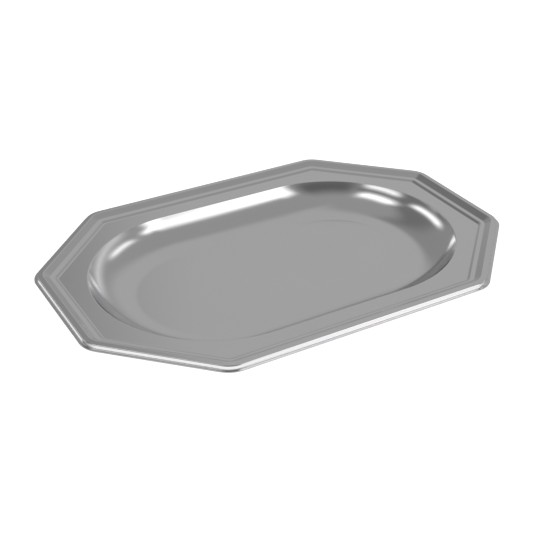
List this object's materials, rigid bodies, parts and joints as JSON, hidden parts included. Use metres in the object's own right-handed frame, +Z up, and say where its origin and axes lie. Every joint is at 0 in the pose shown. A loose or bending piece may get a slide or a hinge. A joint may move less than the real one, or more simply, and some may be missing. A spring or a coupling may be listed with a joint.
{
  "type": "serving tray",
  "caption": "Octagonal silver-coloured serving tray with a stepped and beaded rim, a flat flange and a stadium-shaped well, formed from a bonded laminate sheet.",
  "frame": {"origin": "centre of the underside of the well's floor, on the plane the tray rests on", "axes": "+Z up out of the well, X along the tray's long side, Y across it"},
  "size_m": [0.46, 0.32, 0.0323],
  "materials": {
    "metallised_facing": null,
    "polystyrene_core": null
  },
  "bodies": {
    "root": {"facing_film": "metallised_facing", "core_sheet": "polystyrene_core"}
  },
  "joints": []
}
